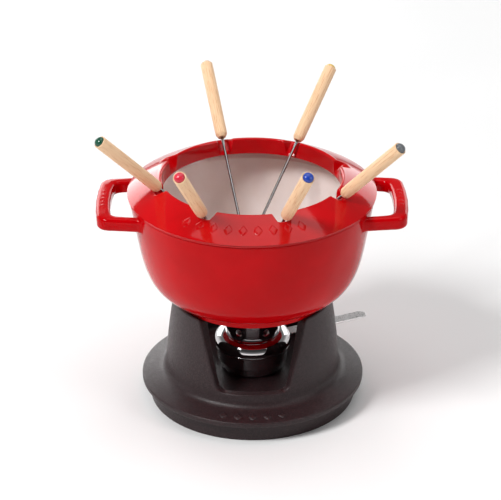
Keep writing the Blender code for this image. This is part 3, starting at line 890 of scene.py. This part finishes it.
def build_ring(material):
    outside, dome, top, wall, under = ring_profile()
    bm = bmesh.new()
    columns = []
    for azimuth in ring_azimuths():
        column = []
        for radius, height in outside + dome:
            if radius < NOTCH_OUTER_R + 8.0:
                height = soft_min(height, trough_height(azimuth, radius), NOTCH_BLEND)
            column.append((radius, height))
        trough = trough_height(azimuth, RING_HOLE_R)
        local_top = soft_min(top[-1][1], trough, NOTCH_BLEND)
        for radius, height in top:
            lowered = soft_min(height, trough_height(azimuth, radius), NOTCH_BLEND)
            rounding = (local_top < top[-1][1] - 0.5) * max(0.0, 1.6 - (radius - RING_HOLE_R)) * 0.5
            column.append((radius, lowered - rounding * 0.6))
        start = column[-1][1]
        for radius, height in wall:
            share = (height - LIP_BOTTOM_Z - 1.3) / (RING_TOP_Z - 3.5 - LIP_BOTTOM_Z - 1.3)
            lowest = LIP_BOTTOM_Z + 1.0
            column.append((radius, lowest + share * 0.94 * (start - lowest)))
        for radius, height in under:
            if height > LIP_BOTTOM_Z + 1.5 and radius < NOTCH_OUTER_R + 2.0:
                height = min(height, max(LIP_BOTTOM_Z + 0.6, trough_height(azimuth, radius) - 2.5))
            column.append((radius, height))
        columns.append([bm.verts.new(around(azimuth, radius, height)) for radius, height in column])
    close_rows(bm, columns + columns[:1])
    add_piece("fork_ring_casting", bm, "fork_ring", [material], ["fork_ring"],
              sharp=60.0)


def build_ring_marks(material):
    """Nine lozenges along the front of the dome."""
    bm = bmesh.new()
    for number in range(RING_MARK_COUNT):
        azimuth = RING_MARK_FIRST + RING_MARK_PITCH * number

        def place(across, along, up, azimuth=azimuth):
            radius = RING_MARK_R - along
            turn = math.degrees(across / RING_MARK_R)
            return around(azimuth + turn, radius, dome_height(radius) + up)

        lozenge(bm, place, 4.2, 5.4, 0.85)
    add_piece("fork_ring_relief", bm, "fork_ring", [material], sharp=60.0)


# ---- forks ---------------------------------------------------------------------------

def fork_place(colour):
    """World matrix of a fork: its origin at the handle's lower end, Z up the fork."""
    joint = next(j for j in frame["joints"] if j["name"] == f"{colour}_fork_slide")
    along = Vector(joint["axis"]).normalized()
    across = Vector((-along.y, along.x, 0)).normalized()
    rotation = Matrix((across, along.cross(across), along)).transposed()
    vertices = frame["nodes"][f"{colour}_fork_handle"].data.vertices
    local = np.array([rotation.transposed() @ v.co for v in vertices])
    low = local.min(axis=0)
    high = local.max(axis=0)
    start = rotation @ Vector(((low[0] + high[0]) / 2, (low[1] + high[1]) / 2, low[2]))
    return Matrix.Translation(start) @ rotation.to_4x4()


def handle_mesh():
    top = HANDLE_LENGTH
    bore = SHAFT_R + FIT_GAP
    recess = CAP_R + FIT_GAP
    return turned(rounded([
        (0, top - 1.0), (recess, top - 1.0), (recess, top, 0.2), (HANDLE_R, top, 0.45),
        (HANDLE_R, 0.7 * top), (HANDLE_LOW_R, 8.0), (HANDLE_LOW_R - 0.2, 3.2, 2.0),
        (HANDLE_LOW_R - 2.0, 0, 1.0), (bore, 0, 0.2), (bore, TANG_LENGTH + FIT_GAP),
        (0, TANG_LENGTH + FIT_GAP),
    ], 4), FACETS_FORK)


def cap_mesh():
    base = HANDLE_LENGTH - 0.7
    dome = []
    for step in range(9):
        turn = math.radians(90.0 * step / 9)
        dome.append((CAP_R * math.cos(turn), base + 0.9 + (CAP_HEIGHT - 0.9) * math.sin(turn)))
    return turned([(0, base), (CAP_R, base)] + dome + [(0, base + CAP_HEIGHT)], FACETS_FORK)


def shaft_mesh():
    """Round rod flowing into a flat head with three pointed tines."""
    rod_end = -(SHAFT_LENGTH - TINE_LENGTH - 6.0)
    palm = -(SHAFT_LENGTH - TINE_LENGTH)
    bm = turned([(0, rod_end - 3.0), (SHAFT_R * 0.8, rod_end - 2.0), (SHAFT_R, rod_end),
                 (SHAFT_R, TANG_LENGTH - 0.4), (SHAFT_R - 0.3, TANG_LENGTH), (0, TANG_LENGTH)], 16)
    half = HEAD_WIDTH / 2
    pitch = half - TINE_WIDTH / 2
    tip = -SHAFT_LENGTH
    outline = rounded([(-SHAFT_R, rod_end), (-half, palm + 2.0, 3.0), (-half, palm)], 4)[:-1]
    for centre in (-pitch, 0, pitch):
        left = centre - TINE_WIDTH / 2
        right = centre + TINE_WIDTH / 2
        outline += [(left, palm), (left, tip + TINE_POINT), (centre, tip),
                    (right, tip + TINE_POINT), (right, palm)]
    outline += rounded([(half, palm), (half, palm + 2.0, 3.0), (SHAFT_R, rod_end)], 4)[1:]
    head = prism(outline, -HEAD_THICK / 2, HEAD_THICK / 2)
    bmesh.ops.rotate(head, matrix=Matrix.Rotation(math.radians(90), 3, 'X'), verts=head.verts)
    spare = bpy.data.meshes.new("spare")
    head.to_mesh(spare)
    head.free()
    bm.from_mesh(spare)
    bpy.data.meshes.remove(spare)
    return bm


def build_forks(wood, steel):
    for colour, paint in CAP_COLOURS.items():
        place = fork_place(colour)
        body = f"{colour}_fork"
        add_piece(f"{colour}_handle", handle_mesh(), body, [wood],
                  [f"{colour}_fork_handle"], place)
        shaft = add_piece(f"{colour}_shaft", shaft_mesh(), body, [steel],
                          [f"{colour}_fork_shaft"], place)
        add_bevel(shaft, 0.25, 2)
        cap_slot = f"{colour}_cap"
        add_piece(f"{colour}_end_cap", cap_mesh(), body, [cap_paint(cap_slot, paint)],
                  [f"{colour}_fork_cap"], place)


# ---- burner --------------------------------------------------------------------------

def build_cup(material):
    rim_low = CUP_RIM_Z - 1.0
    seam = SEAM_R - 0.3
    profile = rounded([
        (0, BURNER_Z), (CUP_FOOT_R, BURNER_Z, 2.5), (31.6, 35.2, 1.2), (32.4, 36.4, 0.8),
        (CUP_R, rim_low - 1.2, 0.6), (seam, rim_low, 0.4), (seam, CUP_RIM_Z, 0.4),
        (CUP_R - CUP_WALL, CUP_RIM_Z, 0.4), (CUP_R - CUP_WALL - 1.0, 37.0, 1.0),
        (CUP_FOOT_R - 0.5, BURNER_Z + CUP_WALL, 3.0), (0, BURNER_Z + CUP_WALL),
    ], 5)
    add_piece("burner_cup_shell", turned(profile, FACETS_BURNER), "burner",
              [material], ["burner_cup"])


def vent_tubes():
    bm = bmesh.new()
    for number in range(VENT_COUNT):
        azimuth = (number + 0.5) * 360.0 / VENT_COUNT - 90.0
        start = Vector(around(azimuth, 15.0, VENT_Z))
        end = Vector(around(azimuth, 32.0, VENT_Z))
        turn = (end - start).to_track_quat('Z', 'Y').to_matrix().to_4x4()
        bmesh.ops.create_cone(
            bm, cap_ends=True, segments=28, radius1=VENT_R, radius2=VENT_R,
            depth=(end - start).length, matrix=Matrix.Translation((start + end) / 2) @ turn)
    return bm


def lever_gap():
    """The slot in the cover's skirt that the lever swings through."""
    start = LEVER_AZIMUTH + LEVER_SWING[0] - SLOT_SPARE
    end = LEVER_AZIMUTH + LEVER_SWING[1] + SLOT_SPARE
    angles = np.linspace(start, end, 20)
    outline = [around(a, SEAM_R + 3.0, 0)[:2] for a in angles]
    outline += [around(a, SEAM_R - 4.0, 0)[:2] for a in angles[::-1]]
    return prism(outline, COVER_Z - 2.0, LEVER_Z + LEVER_THICK + 0.3)


def build_cover(material):
    inner_neck = NECK_R - COVER_WALL
    wide = SEAM_R - NECK_R
    tall = NECK_BASE_Z - SHOULDER_Z

    def shoulder(less, start, end, steps):
        line = []
        for step in range(steps + 1):
            turn = math.radians(start + (end - start) * step / steps)
            line.append((NECK_R - less + wide * math.cos(turn),
                         SHOULDER_Z + (tall - less) * math.sin(turn)))
        return line

    profile = shoulder(0.0, 90, 0, 20)
    seam_inner = SEAM_R - COVER_WALL
    profile += rounded([(SEAM_R, SHOULDER_Z), (SEAM_R, COVER_Z, 0.4), (seam_inner, COVER_Z, 0.3),
                        (seam_inner, SHOULDER_Z)], 3)[1:-1]
    profile += shoulder(COVER_WALL, 0, 90, 20)
    profile += rounded([
        (inner_neck, NECK_BASE_Z), (inner_neck, NECK_TOP_Z, 0.7),
        (NECK_BEAD_R, NECK_TOP_Z, 0.9), (NECK_BEAD_R, NECK_TOP_Z - 1.9, 0.8),
        (NECK_R, NECK_TOP_Z - 2.2, 0.4), (NECK_R, NECK_BASE_Z + 1.0),
    ], 5)[1:]
    bm = turned(profile, FACETS_BURNER)
    cover = add_piece("burner_cover_shell", bm, "burner", [material],
                      ["burner_cover"])
    cut(cover, vent_tubes())
    cut(cover, lever_gap())


def build_regulator(steel):
    outer = NECK_R - COVER_WALL - SLEEVE_CLEAR
    inner = outer - SLEEVE_WALL
    flange_top = SLEEVE_FLANGE_Z + SLEEVE_FLANGE_THICK
    profile = rounded([
        (inner, NECK_TOP_Z - 2.0, 0.4), (outer, NECK_TOP_Z - 2.0, 0.4), (outer, flange_top, 0.6),
        (SLEEVE_FLANGE_R, flange_top, 0.4), (SLEEVE_FLANGE_R, SLEEVE_FLANGE_Z, 0.4),
        (inner, SLEEVE_FLANGE_Z, 0.4),
    ], 4)
    sleeve = add_piece("regulator_sleeve_shell", turned(profile, FACETS_BURNER), "regulator",
                       [steel], ["regulator_sleeve"])
    cut(sleeve, vent_tubes())

    half = LEVER_WIDTH / 2
    straight = LEVER_REACH - half
    outline = [(LEVER_ROOT_R, -half)]
    for step in range(17):
        turn = math.radians(-90.0 + 180.0 * step / 16)
        outline.append((straight + half * math.cos(turn), half * math.sin(turn)))
    outline.append((LEVER_ROOT_R, half))
    bm = prism(outline, LEVER_Z, LEVER_Z + LEVER_THICK)
    turn = Matrix.Rotation(math.radians(LEVER_AZIMUTH), 3, 'Z')
    bmesh.ops.rotate(bm, matrix=turn, verts=bm.verts)
    lever = add_piece("lever_strip", bm, "regulator", [steel], ["regulator_lever"])
    add_bevel(lever, 0.5)

    for number, side in enumerate((-1, 1), start=1):
        azimuth = LEVER_AZIMUTH + math.degrees(math.atan2(side * RIVET_OFFSET, RIVET_RADIUS))
        low = LEVER_Z - 0.3
        top = flange_top + 0.3
        profile = rounded([
            (0, low - RIVET_HEAD), (RIVET_HEAD_R, low - RIVET_HEAD, 0.4), (RIVET_HEAD_R, low, 0.2),
            (1.0, low), (1.0, top), (RIVET_HEAD_R, top, 0.2),
            (RIVET_HEAD_R, top + RIVET_HEAD, 0.6), (0, top + RIVET_HEAD),
        ], 4)
        bm = turned(profile, 24)
        bmesh.ops.translate(bm, vec=around(azimuth, RIVET_RADIUS, 0), verts=bm.verts)
        add_piece(f"rivet_{number}", bm, "regulator", [steel],
                  [f"lever_rivet_{number}"])


def dress_cad_node(node, material):
    """Give a node that is kept as it is a finished material."""
    mesh = frame["nodes"][node].data
    mesh.materials.clear()
    mesh.materials.append(material)


# ---- studio --------------------------------------------------------------------------

def build_floor():
    look = Surface("pale_floor", (0.9, 0.9, 0.9), 0.9, specular=0.1)
    look.colour(look.ramp(look.noise(1.5, 2.0), 0.3, 0.7, (0.88, 0.88, 0.88), (0.92, 0.92, 0.92)))
    bm = bmesh.new()
    bmesh.ops.create_grid(bm, x_segments=2, y_segments=2, size=8.0)
    mesh = bpy.data.meshes.new("floor")
    bm.to_mesh(mesh)
    bm.free()
    mesh.materials.append(look.material)
    floor = bpy.data.objects.new("floor", mesh)
    bpy.context.scene.collection.objects.link(floor)


def build_world():
    """White behind the set, dimmer behind the viewer and overhead."""
    world = bpy.data.worlds.new("studio")
    bpy.context.scene.world = world
    world.use_nodes = True
    tree = world.node_tree
    background = tree.nodes["Background"]
    place = tree.nodes.new("ShaderNodeTexCoord")
    split = tree.nodes.new("ShaderNodeSeparateXYZ")
    tree.links.new(place.outputs["Generated"], split.inputs["Vector"])
    shades = []
    changes = (("Z", 0.05, 0.45, 1.0, WORLD_DIM), ("Y", -0.45, 0.35, WORLD_DIM, 1.0))
    for axis, low, high, at_low, at_high in changes:
        ramp = tree.nodes.new("ShaderNodeMapRange")
        ramp.interpolation_type = 'SMOOTHSTEP'
        ramp.inputs["From Min"].default_value = low
        ramp.inputs["From Max"].default_value = high
        ramp.inputs["To Min"].default_value = at_low
        ramp.inputs["To Max"].default_value = at_high
        tree.links.new(split.outputs[axis], ramp.inputs["Value"])
        shades.append(ramp.outputs["Result"])
    product = tree.nodes.new("ShaderNodeMath")
    product.operation = 'MULTIPLY'
    for number, shade in enumerate(shades):
        tree.links.new(shade, product.inputs[number])
    tree.links.new(product.outputs["Value"], background.inputs["Color"])
    background.inputs["Strength"].default_value = 1.0


def add_area(name, place, aim, size, power):
    data = bpy.data.lights.new(name, 'AREA')
    data.shape = 'RECTANGLE'
    data.size = size[0]
    data.size_y = size[1]
    data.energy = power
    light = bpy.data.objects.new(name, data)
    light.location = place
    light.rotation_mode = 'QUATERNION'
    light.rotation_quaternion = (Vector(aim) - Vector(place)).to_track_quat('-Z', 'Y')
    bpy.context.scene.collection.objects.link(light)


def build_lights():
    middle = (0, 0, 0.15)
    add_area("key", (-1.6, -1.2, 2.3), middle, (0.8, 0.8), 66.0)
    add_area("top", (0.3, 0.2, 2.8), middle, (2.4, 2.4), 30.0)
    add_area("fill", (2.0, -1.2, 1.4), middle, (0.7, 1.4), 12.0)
    add_area("card_left", (-1.0, 2.2, 0.75), middle, (1.6, 1.0), 20.0)
    add_area("card_right", (1.1, 2.2, 0.75), middle, (1.2, 1.0), 8.0)


def build_camera():
    """A long lens at eye height, looking down at the front."""
    data = bpy.data.cameras.new("camera")
    data.sensor_width = 36.0
    data.lens = LENS
    data.clip_start = 0.1
    data.clip_end = 60.0
    camera = bpy.data.objects.new("camera", data)
    tilt = Matrix.Rotation(math.radians(CAMERA_TILT), 4, 'X')
    roll = Matrix.Rotation(CAMERA_ROLL, 4, 'Z')
    camera.matrix_world = Matrix.Translation(CAMERA_PLACE) @ tilt @ roll
    bpy.context.scene.collection.objects.link(camera)
    bpy.context.scene.camera = camera


# ---- assembly ------------------------------------------------------------------------

def main():
    bpy.context.scene.view_settings.view_transform = 'Standard'
    enamel = red_enamel("red_enamel", 0.12)
    ring_enamel = red_enamel("ring_enamel", 0.30)
    iron = cast_iron()
    chrome = polished("polished_steel", CHROME, 0.10)
    steel = polished("plain_steel", STEEL, 0.42, stretch=(1.0, 1.0, 0.1))
    build_stand(iron)
    build_stand_marks(iron)
    build_pot(enamel, cream_enamel())
    for name, side in (("left", -1), ("right", 1)):
        build_ear(f"ear_{name}", side, enamel)
        build_ear_marks(f"ear_relief_{name}", side, enamel)
    build_ring(ring_enamel)
    build_ring_marks(ring_enamel)
    build_forks(beech(), polished("fork_steel", SHAFT_STEEL, 0.22, stretch=(1.0, 1.0, 0.1)))
    build_cup(chrome)
    build_cover(chrome)
    build_regulator(steel)
    dress_cad_node("absorbent_pad", fibre())
    dress_cad_node("burner_gauze", gauze())
    dress_cad_node("gauze_ring", steel)
    build_floor()
    build_world()
    build_lights()
    build_camera()


main()
